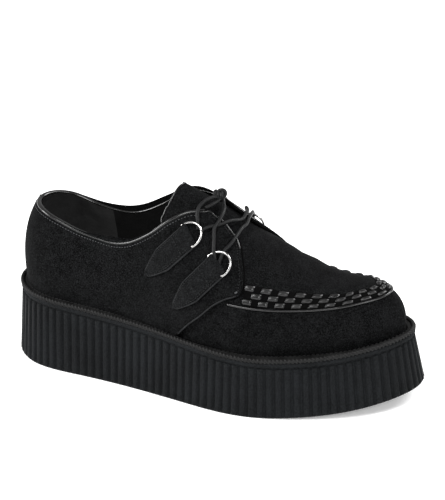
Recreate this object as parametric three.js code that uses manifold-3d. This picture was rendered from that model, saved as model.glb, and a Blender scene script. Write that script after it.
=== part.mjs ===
// Creeper shoe, right foot: suede upper with a woven apron on a ribbed platform sole.
// Millimetres, +X to the toe, -Y to the outer side of the foot, +Z up, origin on the floor below the middle.
import * as THREE from 'three';
import { mergeVertices } from 'three/addons/utils/BufferGeometryUtils.js';
import Module from 'manifold-3d';

const wasm = await Module();
wasm.setup();

// Platform sole
const soleLength = 302;
const soleWidth = 118;
const heelWall = 45.8;
const toeSpring = 10.7;
const springStart = 0.655;
const ribCount = 112;
const ribDepth = 1.4;
const grooveHeight = 1.3;
const grooveDepth = 1.6;
const lipHeight = 3.7;
const lipProud = 0.5;

// Upper
const instepHeight = 88;
const wall = 2.2;
const quarterStep = 1.1;
const collarHeight = 66;
const collarSkew = 0.26;
const collarTilt = 0.015;
const outerRim = -0.21;
const throatWidth = 30;
const clearance = 0.3;
const pipingRadius = 1.2;

// Welt, insole and tongue
const weltHeight = 2.2;
const insoleThickness = 3.5;
const tongueThickness = 2.4;

// Apron
const bandGap = 0.5;
const bandThickness = 1.1;
const blockRise = 0.9;
const blockPitch = 5.5;
const blockRows = 3;

// Straps, rings and lace
const strapLength = 47;
const innerSetback = 8;
const strapWidth = 15.6;
const strapThickness = 1.5;
const ringRadius = 8.8;
const ringWire = 1.9;
const joint = 0.4;
const laceDiameter = 2.2;

// Outline of the sole: control points from the heel round the outer side to the toe and back
const outline = [
  { along: -0.034, across: 0.077 },
  { along: 0.065, across: -0.294 },
  { along: 0.218, across: -0.315 },
  { along: 0.362, across: -0.368 },
  { along: 0.507, across: -0.45 },
  { along: 0.652, across: -0.53 },
  { along: 0.801, across: -0.427 },
  { along: 0.928, across: -0.279 },
  { along: 1.035, across: 0.076 },
  { along: 0.93, across: 0.405 },
  { along: 0.791, across: 0.507 },
  { along: 0.646, across: 0.502 },
  { along: 0.509, across: 0.392 },
  { along: 0.363, across: 0.344 },
  { along: 0.225, across: 0.351 },
  { along: 0.071, across: 0.428 },
];
const turns = outline.length;
const half = turns / 2;

// Height of the ribbed wall along the sole, in shares of the heel wall
const wedge = [
  { at: 0, height: 1 },
  { at: 0.2, height: 0.94 },
  { at: 0.42, height: 0.868 },
  { at: 0.69, height: 0.732 },
  { at: 1, height: 0.734 },
];

// Sections from the heel (first row) to the toe (last row). Flare and ledge are millimetres; ridge is a share
// of the instep height; the others are the places of a section's control points, out and up.
const sections = [
  { flare: 3.7, ledge: 5.6, ridge: 0.9, low: 1.07, lowUp: 0.3, side: 1.06, sideUp: 0.72, top: 0.5 },
  { flare: 3.8, ledge: 6.0, ridge: 0.9, low: 1.07, lowUp: 0.3, side: 1.05, sideUp: 0.72, top: 0.5 },
  { flare: 3.9, ledge: 7.2, ridge: 0.96, low: 1.06, lowUp: 0.25, side: 0.97, sideUp: 0.62, top: 0.45 },
  { flare: 4.0, ledge: 5.8, ridge: 1.12, low: 1.06, lowUp: 0.25, side: 0.95, sideUp: 0.59, top: 0.45 },
  { flare: 4.1, ledge: 4.5, ridge: 1.02, low: 1.03, lowUp: 0.28, side: 1.0, sideUp: 0.62, top: 0.55 },
  { flare: 5.0, ledge: 8.0, ridge: 0.718, low: 1.05, lowUp: 0.3, side: 1.05, sideUp: 0.68, top: 0.58 },
  { flare: 6.0, ledge: 10.0, ridge: 0.495, low: 1.08, lowUp: 0.33, side: 1.1, sideUp: 0.78, top: 0.58 },
  { flare: 5.6, ledge: 8.0, ridge: 0.435, low: 1.07, lowUp: 0.32, side: 1.07, sideUp: 0.77, top: 0.68 },
  { flare: 5.1, ledge: 6.0, ridge: 0.445, low: 1.06, lowUp: 0.3, side: 1.06, sideUp: 0.75, top: 0.75 },
];
const heelAxis = 0.166;
const toeAxis = 0.851;
const toeTurn = 6.58;

// Collar line from the heel to the flap's corner: shares of the sole's length and of the collar height
const collarLine = [
  { along: -0.05, rise: 0.88 },
  { along: 0.06, rise: 0.9 },
  { along: 0.11, rise: 0.905 },
  { along: 0.156, rise: 0.86 },
  { along: 0.211, rise: 0.8 },
  { along: 0.265, rise: 0.78 },
  { along: 0.307, rise: 0.785 },
  { along: 0.347, rise: 0.84 },
  { along: 0.399, rise: 0.985 },
  { along: 0.446, rise: 1.155 },
  { along: 0.488, rise: 1.26 },
  { along: 0.53, rise: 1.29 },
  { along: 0.58, rise: 1.3 },
];

// Front edge of the quarter from the welt up to the flap's corner, in shares of length and instep height
const quarterEdge = [
  { along: 0.455, rise: -0.1 },
  { along: 0.476, rise: 0.012 },
  { along: 0.516, rise: 0.145 },
  { along: 0.549, rise: 0.245 },
  { along: 0.583, rise: 0.37 },
  { along: 0.61, rise: 0.445 },
  { along: 0.648, rise: 0.533 },
  { along: 0.64, rise: 0.61 },
  { along: 0.628, rise: 0.68 },
  { along: 0.616, rise: 0.75 },
  { along: 0.609, rise: 0.79 },
  { along: 0.586, rise: 0.87 },
  { along: 0.56, rise: 0.95 },
  { along: 0.53, rise: 1.2 },
];

// Half width of the throat seen from above, in shares of length and throat width
const throatEdge = [
  { along: 0.3, half: 0.5 },
  { along: 0.53, half: 0.48 },
  { along: 0.57, half: 0.52 },
  { along: 0.59, half: 0.58 },
  { along: 0.605, half: 0.64 },
  { along: 0.615, half: 0.55 },
  { along: 0.62, half: 0.3 },
];

// Woven band of the apron: how high its outer and inner edges climb at each turn, and how much lower the band
// lies on the inner side of the shoe
const apron = [
  { turn: 4.7, edge: 0.386, inner: 0.56, lower: 0.13 },
  { turn: 5.0, edge: 0.418, inner: 0.6, lower: 0.13 },
  { turn: 5.5, edge: 0.47, inner: 0.665, lower: 0.13 },
  { turn: 6.0, edge: 0.528, inner: 0.727, lower: 0.12 },
  { turn: 6.5, edge: 0.58, inner: 0.78, lower: 0.09 },
  { turn: 7.0, edge: 0.62, inner: 0.817, lower: 0.05 },
  { turn: 7.5, edge: 0.642, inner: 0.835, lower: 0.015 },
  { turn: 8.0, edge: 0.672, inner: 0.845, lower: 0 },
];
const bandStart = 5.04;
const pipingStart = 4.78;

// Straps: tip in shares of length and instep height, and lean in degrees
const straps = [
  { name: 'upper', along: 0.399, rise: 0.42, lean: 43.5 },
  { name: 'lower', along: 0.479, rise: 0.247, lean: 45.5 },
];

// Lace: side (-1 outer, 1 inner), turn, climb and height over the form, in millimetres
const lacePaths = {
  bar: [[-1, 4.56, 0.69, 4.2], [-1, 4.61, 0.8, 3.4], [-1, 4.63, 0.9, 2.2], [1, 4.62, 1, 1.6], [1, 4.56, 0.9, 2.2],
    [1, 4.5, 0.8, 3.4], [1, 4.44, 0.72, 4.4]],
  rising: [[-1, 4.41, 0.675, 4.3], [-1, 4.35, 0.73, 4], [-1, 4.32, 0.82, 5], [-1, 4.3, 0.91, 4.6], [1, 4.23, 1, 3.4],
    [1, 4.12, 0.9, 3.6], [1, 4.02, 0.82, 4.4], [1, 3.93, 0.75, 4.8]],
  falling: [[-1, 4.16, 0.755, 4.2], [-1, 4.33, 0.8, 2.9], [-1, 4.42, 0.87, 2.4], [1, 4.47, 1, 1.4],
    [1, 4.44, 0.9, 2.4], [1, 4.4, 0.82, 3.2], [1, 4.35, 0.75, 4.2]],
};
const knotSpot = [1, 3.98, 0.95, 5.2];
const nearEnd = [[-1, 4.07, 0.75, 5.4], [-1, 4.0, 0.82, 6.2], [-1, 4.02, 0.88, 6.4], [-1, 4.02, 0.94, 6.2],
  [1, 4.01, 0.99, 5.8]];
const freeEnd = [[1, 4.11, 0.96, 7], [1, 4.17, 1, 7.2], [-1, 4.16, 0.92, 6.8], [-1, 4.14, 0.86, 5.8],
  [-1, 4.13, 0.82, 4.8]];

// Periodic uniform cubic B-spline of one column of the outline
function outlineSpline(turn, column) {
  const first = Math.floor(turn);
  const t = turn - first;
  const value = (step) => outline[(first + step + turns) % turns][column];
  return ((1 - t) ** 3 * value(-1) + (3 * t ** 3 - 6 * t ** 2 + 4) * value(0)
    + (-3 * t ** 3 + 3 * t ** 2 + 3 * t + 1) * value(1) + t ** 3 * value(2)) / 6;
}

// Smooth curve through the rows of a table
function lookup(rows, key, place, column) {
  let row = 0;
  while (row < rows.length - 2 && place > rows[row + 1][key]) row += 1;
  const at = (step) => rows[Math.min(Math.max(row + step, 0), rows.length - 1)];
  const span = at(1)[key] - at(0)[key];
  const t = Math.min(Math.max((place - at(0)[key]) / span, 0), 1);
  const slope = (from, to) => (to[column] - from[column]) / Math.max(to[key] - from[key], 1e-6) * span;
  const start = slope(at(-1), at(1));
  const end = slope(at(0), at(2));
  return (2 * t ** 3 - 3 * t ** 2 + 1) * at(0)[column] + (t ** 3 - 2 * t ** 2 + t) * start
    + (3 * t ** 2 - 2 * t ** 3) * at(1)[column] + (t ** 3 - t ** 2) * end;
}

const stationRows = sections.map((row, index) => ({ ...row, station: index }));

// A value of the section table at any turn; the two sides of the shoe share one table
function section(turn, column) {
  return lookup(stationRows, 'station', turn <= half ? turn : turns - turn, column);
}

// Outline moved so that its box is centred
const probe = Array.from({ length: 400 }, (_, index) => index * turns / 400);
const middle = (column) => {
  const values = probe.map((turn) => outlineSpline(turn, column));
  return (Math.min(...values) + Math.max(...values)) / 2;
};
const middleAlong = middle('along');
const middleAcross = middle('across');

function outlinePoint(turn) {
  return new THREE.Vector2(
    (outlineSpline(turn, 'along') - middleAlong) * soleLength,
    (outlineSpline(turn, 'across') - middleAcross) * soleWidth,
  );
}

function insetPoint(turn, inset) {
  const step = 0.01;
  const wrap = (value) => (value + turns) % turns;
  const tangent = outlinePoint(wrap(turn + step)).sub(outlinePoint(wrap(turn - step))).normalize();
  return outlinePoint(wrap(turn)).sub(new THREE.Vector2(tangent.y, -tangent.x).multiplyScalar(inset));
}

const share = (x) => x / soleLength + 0.5;
const spring = (x) => toeSpring * Math.max(0, (share(x) - springStart) / (1 - springStart)) ** 2;
const ribTop = (x) => lookup(wedge, 'at', Math.min(Math.max(share(x), 0), 1), 'height') * heelWall + spring(x);
const platformTop = (x) => ribTop(x) + grooveHeight + lipHeight;

// Point of the upper's form: turn goes round the shoe, climb from the sole (0) to the ridge (1)
function spinePoint(turn) {
  const near = turn <= half ? turn : turns - turn;
  const far = (turns - near) % turns;
  const inset = (side) => insetPoint(side, section(side, 'flare') + section(side, 'ledge'));
  const spine = inset(near).add(inset(far)).multiplyScalar(0.5);
  const rear = (heelAxis - 0.5) * soleLength;
  const front = (toeAxis - 0.5) * soleLength;
  if (spine.x < rear) spine.copy(axisPoint(rear));
  if (spine.x > front) spine.copy(axisPoint(front));
  return spine;
}

// Middle of the two sides at one distance along the shoe
function axisPoint(x) {
  let low = 0;
  let high = half;
  for (let pass = 0; pass < 30; pass += 1) {
    const turn = (low + high) / 2;
    const inset = (side) => insetPoint(side, section(side, 'flare') + section(side, 'ledge'));
    const spot = inset(turn).add(inset((turns - turn) % turns)).multiplyScalar(0.5);
    if (spot.x < x) low = turn;
    else high = turn;
    if (pass === 29) return new THREE.Vector2(x, spot.y);
  }
}

function formPoint(turn, climb, offset) {
  const flare = section(turn, 'flare');
  const foot = insetPoint(turn, flare + section(turn, 'ledge') - offset);
  const spine = spinePoint(turn);
  const footHeight = platformTop(foot.x) + clearance;
  // past toeTurn the sections share one axis and one height
  const ridge = section(Math.min(turn, turns - turn, toeTurn), 'ridge');
  const ridgeHeight = platformTop(spine.x) + ridge * instepHeight + offset;
  const out = [1, section(turn, 'low'), section(turn, 'side'), section(turn, 'top'), 0];
  const up = [0, section(turn, 'lowUp'), section(turn, 'sideUp'), 1, 1];
  const weights = [1, 4, 6, 4, 1];
  let reach = 0;
  let rise = 0;
  for (let knot = 0; knot < 5; knot += 1) {
    const weight = weights[knot] * climb ** knot * (1 - climb) ** (4 - knot);
    reach += weight * out[knot];
    rise += weight * up[knot];
  }
  const plan = spine.clone().lerp(foot, reach);
  return new THREE.Vector3(plan.x, plan.y, footHeight + rise * (ridgeHeight - footHeight));
}

// Geometry from rows of points, each row once round the shoe. A row may have a whole number of times fewer
// points than the row below or above it. The first and last rows are closed by strips between the two sides.
function lofted(rows) {
  const positions = [];
  const faces = [];
  const bases = rows.map((row) => {
    const base = positions.length / 3;
    row.forEach((point) => positions.push(point.x, point.y, point.z));
    return base;
  });
  for (let level = 0; level + 1 < rows.length; level += 1) {
    const [lowCount, highCount] = [rows[level].length, rows[level + 1].length];
    const sections = Math.min(lowCount, highCount);
    const [lowStep, highStep] = [lowCount / sections, highCount / sections];
    for (let column = 0; column < sections; column += 1) {
      const low = (step) => bases[level] + (column * lowStep + step) % lowCount;
      const high = (step) => bases[level + 1] + (column * highStep + step) % highCount;
      for (let step = 0; step < lowStep; step += 1) faces.push(low(step), low(step + 1), high(highStep));
      for (let step = highStep; step > 0; step -= 1) faces.push(low(0), high(step), high(step - 1));
    }
  }
  const cap = (level, flip) => {
    const count = rows[level].length;
    for (let column = 0; column < count / 2; column += 1) {
      const right = bases[level] + column;
      const rightNext = right + 1;
      const left = bases[level] + (count - column) % count;
      const leftNext = bases[level] + count - column - 1;
      const pair = [[right, left, rightNext], [left, leftNext, rightNext]];
      pair.forEach(([a, b, c]) => faces.push(...(flip ? [a, c, b] : [a, b, c])));
    }
  };
  cap(0, false);
  cap(rows.length - 1, true);
  return indexed(positions, faces);
}

function indexed(positions, faces) {
  const geometry = new THREE.BufferGeometry();
  geometry.setAttribute('position', new THREE.Float32BufferAttribute(positions, 3));
  geometry.setIndex(faces);
  return geometry;
}

function solid(geometry, tolerance = 1e-4) {
  const bare = geometry.clone();
  bare.deleteAttribute('normal');
  bare.deleteAttribute('uv');
  const merged = mergeVertices(bare, tolerance);
  const index = merged.getIndex().array;
  const triangles = [];
  for (let face = 0; face < index.length; face += 3) {
    const [a, b, c] = [index[face], index[face + 1], index[face + 2]];
    if (a !== b && b !== c && c !== a) triangles.push(a, b, c);
  }
  return new wasm.Manifold(new wasm.Mesh({
    numProp: 3,
    vertProperties: Float32Array.from(merged.getAttribute('position').array),
    triVerts: Uint32Array.from(triangles),
  }));
}

function geometryOf(body) {
  const mesh = body.getMesh();
  const positions = [];
  for (let vertex = 0; vertex < mesh.vertProperties.length; vertex += mesh.numProp) {
    positions.push(...mesh.vertProperties.slice(vertex, vertex + 3));
  }
  return indexed(positions, Array.from(mesh.triVerts));
}

// Body without the shortest edges that cuts leave behind
const welded = (body) => [0.02, 0.033, 0.047].reduce(
  (joined, tolerance) => solid(geometryOf(joined), tolerance),
  body.simplify(0.02),
);

// Prism across the shoe from an outline of [x, z] points
function acrossPrism(points, width, matrix = new THREE.Matrix4()) {
  const shape = new THREE.Shape(points.map(([x, z]) => new THREE.Vector2(x, z)));
  const geometry = new THREE.ExtrudeGeometry(shape, { depth: width, bevelEnabled: false });
  return solid(geometry.rotateX(Math.PI / 2).translate(0, width / 2, 0).applyMatrix4(matrix));
}

// Upright prism from an outline of [x, y] points
function uprightPrism(points, bottom, top) {
  const shape = new THREE.Shape(points.map(([x, y]) => new THREE.Vector2(x, y)));
  const geometry = new THREE.ExtrudeGeometry(shape, { depth: top - bottom, bevelEnabled: false });
  return solid(geometry.translate(0, 0, bottom));
}

const columns = ribCount / 2;
const group = new THREE.Group();

function addPart(name, geometry, color, roughness, metalness = 0) {
  const material = new THREE.MeshStandardMaterial({ color, roughness, metalness });
  const mesh = new THREE.Mesh(geometry, material);
  mesh.name = name;
  group.add(mesh);
}

function ringRow(count, inset, height) {
  return Array.from({ length: count }, (_, column) => {
    const turn = column * turns / count;
    const plan = insetPoint(turn, inset(turn));
    return new THREE.Vector3(plan.x, plan.y, height(plan.x));
  });
}

// Platform sole: flat bottom, ribbed wall, groove and rounded lip in one skin
function platformSole() {
  const phases = [0, 0.66, 0.83];
  const depths = [0, 0, 1];
  const ribbed = (height, lean) => {
    const row = [];
    for (let rib = 0; rib < ribCount; rib += 1) {
      phases.forEach((phase, index) => {
        const turn = (rib + phase) * turns / ribCount;
        const plan = insetPoint(turn, lean * section(turn, 'flare') + depths[index] * ribDepth);
        row.push(new THREE.Vector3(plan.x, plan.y, height(plan.x)));
      });
    }
    return row;
  };
  const flare = (turn) => section(turn, 'flare');
  const levels = [
    { inset: grooveDepth, up: 0 },
    { inset: grooveDepth, up: grooveHeight },
    { inset: -lipProud, up: grooveHeight + lipHeight * 0.15 },
    { inset: -lipProud, up: grooveHeight + lipHeight * 0.65 },
    { inset: lipProud, up: grooveHeight + lipHeight },
  ];
  const floorRow = ringRow(columns, () => ribDepth + lipProud, spring);
  const upperRows = levels.map((level) => ringRow(
    columns,
    (turn) => flare(turn) + level.inset,
    (x) => ribTop(x) + level.up,
  ));
  return solid(lofted([floorRow, ribbed(spring, 0), ribbed(ribTop, 1), ...upperRows]));
}

const climbs = [0, 0.14, 0.3, 0.46, 0.6, 0.73, 0.86, 1];

// Solid of the form grown by an offset. A lifted one starts inside the plain form's foot and grows out of it.
function formSolid(offset, drop, lift = 0) {
  const rows = climbs.map((climb, level) => {
    const raised = lift > 0 && level === 0;
    return Array.from({ length: columns }, (_, column) => {
      const point = formPoint(column * turns / columns, climb, raised ? -offset / 2 : offset);
      return raised ? point.setZ(point.z + lift) : point;
    });
  });
  if (drop > 0) rows.unshift(rows[0].map((point) => point.clone().setZ(point.z - drop)));
  return solid(lofted(rows));
}

const alongAt = (along) => (along - 0.5) * soleLength;
const collarBase = (x) => platformTop(x) + lookup(collarLine, 'along', share(x), 'rise') * collarHeight;
const fromRim = (y) => y - outerRim * soleWidth;
const collarAt = (x, y) => collarBase(x + collarSkew * fromRim(y)) + collarTilt * fromRim(y);
const skyHeight = heelWall + instepHeight * 2;
const farWidth = soleWidth * 2;

// Everything over the collar line, which lies further back and higher on the inner side
function collarCutter() {
  const points = [];
  const first = collarLine[0].along;
  const last = collarLine[collarLine.length - 1].along;
  const steps = 26;
  for (let step = 0; step <= steps; step += 1) {
    const x = alongAt(first + (last - first) * step / steps);
    points.push([x, collarBase(x)]);
  }
  points.push([alongAt(last), skyHeight], [alongAt(first), skyHeight]);
  const rim = outerRim * soleWidth;
  const skewed = new THREE.Matrix4().set(
    1, -collarSkew, 0, collarSkew * rim,
    0, 1, 0, 0,
    0, collarTilt, 1, -collarTilt * rim,
    0, 0, 0, 1,
  );
  return acrossPrism(points, farWidth, skewed);
}

// Opening between the flaps, from the collar to the end of the vamp
function throatCutter() {
  const centre = (along) => axisPoint(alongAt(along)).y;
  const side = (sign) => throatEdge.map((row) => [alongAt(row.along), centre(row.along) + sign * row.half * throatWidth]);
  return uprightPrism([...side(-1), ...side(1).reverse()], heelWall + instepHeight / 3, skyHeight);
}

// Upper: hollow form whose quarters stand a step proud of the vamp
function upper() {
  const edge = quarterEdge.map((row) => {
    const x = alongAt(row.along);
    return [x, platformTop(x) + row.rise * instepHeight];
  });
  const rear = alongAt(-0.1);
  const quarters = formSolid(quarterStep, 0, quarterStep * 2).intersect(acrossPrism(
    [...edge, [edge[edge.length - 1][0], skyHeight], [rear, skyHeight], [rear, 0]],
    farWidth,
  ));
  const inside = formSolid(-wall, heelWall / 4);
  const shell = formSolid(0, 0).add(quarters).subtract(inside).subtract(collarCutter()).subtract(throatCutter());
  return welded(shell);
}

// Closed patch on the form: place(s, w) gives [turn, climb], low and high are its two offsets
function patch(place, lengthSteps, widthSteps, low, high) {
  const grid = (offset) => {
    const points = [];
    for (let step = 0; step <= lengthSteps; step += 1) {
      for (let lane = 0; lane <= widthSteps; lane += 1) {
        const s = step / lengthSteps;
        const w = lane / widthSteps;
        const [turn, climb] = place(s, w);
        points.push(formPoint((turn + turns) % turns, climb, typeof offset === 'function' ? offset(s, w) : offset));
      }
    }
    return points;
  };
  return sheetSolid(grid(low), grid(high), lengthSteps, widthSteps);
}

// Closed sheet between two grids of points of the same size
function sheetSolid(under, over, lengthSteps, widthSteps) {
  const positions = [];
  [...under, ...over].forEach((point) => positions.push(point.x, point.y, point.z));
  const lanes = widthSteps + 1;
  const lift = under.length;
  const faces = [];
  const quad = (a, b, c, d) => faces.push(a, b, c, a, c, d);
  for (let step = 0; step < lengthSteps; step += 1) {
    for (let lane = 0; lane < widthSteps; lane += 1) {
      const a = step * lanes + lane;
      const [b, c, d] = [a + 1, a + lanes + 1, a + lanes];
      quad(a, d, c, b);
      quad(a + lift, b + lift, c + lift, d + lift);
    }
  }
  for (let lane = 0; lane < widthSteps; lane += 1) {
    const last = lengthSteps * lanes + lane;
    quad(lane, lane + 1, lane + 1 + lift, lane + lift);
    quad(last + 1, last, last + lift, last + 1 + lift);
  }
  for (let step = 0; step < lengthSteps; step += 1) {
    const a = step * lanes;
    const b = a + widthSteps;
    quad(a + lanes, a, a + lift, a + lanes + lift);
    quad(b, b + lanes, b + lanes + lift, b + lift);
  }
  const body = solid(indexed(positions, faces));
  return body.volume() < 0 ? solid(indexed(positions, faces.reverse())) : body;
}

// Tube along points, as an extruded round section
function tube(points, radius, sides, steps, closed = false) {
  const section = new THREE.Shape();
  for (let corner = 0; corner < sides; corner += 1) {
    const angle = corner / sides * Math.PI * 2;
    const spot = [Math.cos(angle) * radius, Math.sin(angle) * radius];
    if (corner === 0) section.moveTo(...spot);
    else section.lineTo(...spot);
  }
  section.closePath();
  const path = new THREE.CatmullRomCurve3(points, closed, 'centripetal');
  return new THREE.ExtrudeGeometry(section, { steps, bevelEnabled: false, extrudePath: path });
}

// Turn and climb of the form's point at one place of the side view; sign is -1 outer, 1 inner
function sideSpot(x, z, sign, startTurn) {
  let turn = startTurn;
  let climb = 0.5;
  const point = (a, b) => formPoint(sign < 0 ? a : turns - a, b, 0);
  for (let pass = 0; pass < 12; pass += 1) {
    const here = point(turn, climb);
    const byTurn = point(turn + 0.01, climb).sub(here).multiplyScalar(100);
    const byClimb = point(turn, climb + 0.01).sub(here).multiplyScalar(100);
    const [dx, dz] = [x - here.x, z - here.z];
    const determinant = byTurn.x * byClimb.z - byClimb.x * byTurn.z;
    turn += (dx * byClimb.z - byClimb.x * dz) / determinant;
    climb += (byTurn.x * dz - dx * byTurn.z) / determinant;
    climb = Math.min(Math.max(climb, 0), 0.98);
  }
  return [turn, climb];
}

const onForm = ([side, turn, climb, lift]) => formPoint(side < 0 ? turn : turns - turn, climb, lift);

// Climb of the collar line at one turn
function collarClimb(turn, offset) {
  let low = 0;
  let high = 1;
  for (let pass = 0; pass < 24; pass += 1) {
    const climb = (low + high) / 2;
    const point = formPoint(turn, climb, offset);
    if (point.z < collarAt(point.x, point.y)) low = climb;
    else high = climb;
  }
  return (low + high) / 2;
}

function collarPiping() {
  const [outerEnd, innerEnd] = [4.05, 3.86];
  const steps = 60;
  const points = [];
  for (let step = 0; step <= steps; step += 1) {
    const turn = (outerEnd - (outerEnd + innerEnd) * step / steps + turns) % turns;
    const point = formPoint(turn, collarClimb(turn, 0), (quarterStep - wall) / 2);
    points.push(point.setZ(collarAt(point.x, point.y) + pipingRadius + clearance * 2));
  }
  return tube(points, pipingRadius, 8, 34);
}

// Turns at even distances along the band, between two turns
function evenTurns(start, end, climbAt, pitch) {
  const samples = 240;
  const spots = [];
  let length = 0;
  for (let sample = 0; sample <= samples; sample += 1) {
    const turn = start + (end - start) * sample / samples;
    const point = formPoint(turn, climbAt(turn), 0);
    if (sample > 0) length += point.distanceTo(spots[sample - 1].point);
    spots.push({ turn, point, length });
  }
  const count = Math.round(length / pitch / 2) * 2;
  let sample = 0;
  return Array.from({ length: count + 1 }, (_, index) => {
    const goal = length * index / count;
    while (sample < samples - 1 && spots[sample + 1].length < goal) sample += 1;
    const [from, to] = [spots[sample], spots[sample + 1]];
    return from.turn + (to.turn - from.turn) * (goal - from.length) / (to.length - from.length);
  });
}

function apronAt(turn, column) {
  const near = turn <= half ? turn : turns - turn;
  return lookup(apron, 'turn', near, column) - (turn > half ? lookup(apron, 'turn', near, 'lower') : 0);
}

function apronWeave() {
  const middleClimb = (turn) => (apronAt(turn, 'edge') + apronAt(turn, 'inner')) / 2;
  const cells = evenTurns(bandStart, turns - bandStart, middleClimb, blockPitch);
  const climbAt = (turn, across) => {
    const edge = apronAt(turn, 'edge');
    return edge + across * (apronAt(turn, 'inner') - edge);
  };
  const count = cells.length - 1;
  const start = 0.1;
  const place = (s, w) => {
    const turn = cells[Math.round(s * count)];
    return [turn, climbAt(turn, start + (1 - start) * w)];
  };
  let band = patch(place, count, 2, bandGap, bandGap + bandThickness);
  const inset = 0.08;
  for (let column = 0; column < count; column += 1) {
    for (let row = 0; row < blockRows; row += 1) {
      if ((column + row) % 2 === 0) {
        const block = (s, w) => {
          const share = column + inset + s * (1 - 2 * inset);
          const turn = cells[column] + (cells[column + 1] - cells[column]) * (share - column);
          const across = start + (1 - start) * (row + inset + w * (1 - 2 * inset)) / blockRows;
          return [turn, climbAt(turn, across)];
        };
        band = band.add(patch(block, 1, 1, bandGap + bandThickness / 2, bandGap + bandThickness + blockRise));
      }
    }
  }
  return welded(band);
}

function apronPiping() {
  const turnsEven = evenTurns(pipingStart, turns - pipingStart, (turn) => apronAt(turn, 'edge'), 6);
  const points = turnsEven.map((turn) => formPoint(turn, apronAt(turn, 'edge') - 0.006, pipingRadius + clearance));
  return tube(points, pipingRadius, 8, 32);
}

function tongue() {
  const place = (s, w) => {
    const across = Math.abs(w * 2 - 1);
    const turn = 5.25 - s * (1.8 + 0.1 * across ** 2);
    const climb = 1 - across * (0.17 + 0.12 * s);
    return [w < 0.5 ? turn : turns - turn, climb];
  };
  const top = (s, w) => -wall - clearance * 4 + Math.max(0, s - 0.7) * (1 - (w * 2 - 1) ** 2) * 9;
  return patch(place, 10, 6, (s, w) => top(s, w) - tongueThickness, top);
}

function insole() {
  const inset = (turn) => section(turn, 'flare') + section(turn, 'ledge') + wall + clearance * 2;
  return solid(lofted([
    ringRow(columns, inset, (x) => platformTop(x) + clearance),
    ringRow(columns, inset, (x) => platformTop(x) + clearance + insoleThickness * 0.8),
    ringRow(columns, (turn) => inset(turn) + insoleThickness * 0.3, (x) => platformTop(x) + clearance + insoleThickness),
  ]));
}

// Welt: ring round the upper's foot, with a rope seam along its outer edge
function welt() {
  const profile = [
    { across: 0, up: 0 },
    { across: 0, up: 0.6 },
    { across: 0.2, up: 1 },
    { across: 0.44, up: 0.5 },
    { across: 1, up: 0.5 },
    { across: 1, up: 0 },
  ];
  const count = columns;
  const rows = profile.map((row) => ringRow(
    count,
    (turn) => section(turn, 'flare') + 0.9 + row.across * (section(turn, 'ledge') - 0.9 - clearance * 2),
    (x) => platformTop(x) + clearance + row.up * weltHeight,
  ));
  const positions = [];
  const faces = [];
  rows.forEach((row) => row.forEach((point) => positions.push(point.x, point.y, point.z)));
  rows.forEach((_, level) => {
    for (let column = 0; column < count; column += 1) {
      const next = (column + 1) % count;
      const low = level * count;
      const high = (level + 1) % rows.length * count;
      faces.push(low + column, low + next, high + next, low + column, high + next, high + column);
    }
  });
  return indexed(positions, faces);
}

// Places of one strap on the form: along it from the tip (0) to the ring (1), across it from -1 to 1
function strapPlace(strap, sign) {
  const tip = alongAt(strap.along) - (sign > 0 ? innerSetback : 0);
  const tipHeight = platformTop(tip) + strap.rise * instepHeight;
  const lean = strap.lean * Math.PI / 180;
  return (s, w) => {
    const width = strapWidth / 2 * Math.min(1, (s / 0.42) ** 0.7) * (1 - 0.26 * s ** 4);
    const along = s * strapLength;
    const across = (w * 2 - 1) * width;
    const x = tip + along * Math.cos(lean) + across * Math.sin(lean);
    const z = tipHeight + along * Math.sin(lean) - across * Math.cos(lean);
    const [turn, climb] = sideSpot(x, z, sign, 4);
    return [sign < 0 ? turn : turns - turn, climb];
  };
}

// Ring of one strap: half round beyond the strap's end and a straight bar in its fold, where the wire's ends meet
function ringPath(strap, sign) {
  const place = strapPlace(strap, sign);
  const lift = quarterStep + clearance * 2 + strapThickness + ringWire / 2;
  const spot = (s, w, extra) => {
    const [turn, climb] = place(s, w);
    return formPoint(turn, climb, lift + extra);
  };
  const end = 1 - ringWire / strapLength;
  const centre = spot(end, 0.5, 0);
  const sideways = spot(end, 1, 0).sub(spot(end, 0, 0)).normalize();
  const rough = centre.clone().sub(spot(end - 0.1, 0.5, 0));
  const forward = rough.sub(sideways.clone().multiplyScalar(rough.dot(sideways))).normalize();
  const points = [[0, joint / 2], [0, ringRadius / 2], [0, ringRadius * 0.96]];
  const arcSteps = 8;
  for (let step = 1; step < arcSteps; step += 1) {
    const angle = step / arcSteps * Math.PI;
    points.push([Math.sin(angle) * ringRadius * 1.1, Math.cos(angle) * ringRadius]);
  }
  points.push([0, -ringRadius * 0.96], [0, -ringRadius / 2], [0, -joint / 2]);
  return points.map(([out, across]) => centre.clone()
    .addScaledVector(forward, out)
    .addScaledVector(sideways, across));
}

function strapAndRing(strap, sign) {
  const path = ringPath(strap, sign);
  const place = strapPlace(strap, sign);
  const low = quarterStep + clearance;
  const thick = (s) => strapThickness + Math.max(0, (s - 0.55) / 0.45) ** 1.5 * (ringWire + strapThickness);
  const body = patch(place, 8, 2, low, (s) => low + thick(s));
  const ends = [path[2], path[path.length - 3]];
  const middlePoint = ends[0].clone().lerp(ends[1], 0.5);
  const reach = ends.map((end) => middlePoint.clone().lerp(end, 1.2));
  const bar = solid(tube(reach, ringWire / 2 + clearance * 2, 8, 1));
  return { strap: body.subtract(bar), ring: tube(path, ringWire / 2, 8, 15) };
}

const laceStrand = (path, steps) => tube(path.map(onForm), laceDiameter / 2, 8, steps);

// The two strands that cross between the rings, joined where they touch
function laceCrossings() {
  return welded(solid(laceStrand(lacePaths.rising, 11)).add(solid(laceStrand(lacePaths.falling, 10))));
}

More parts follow.
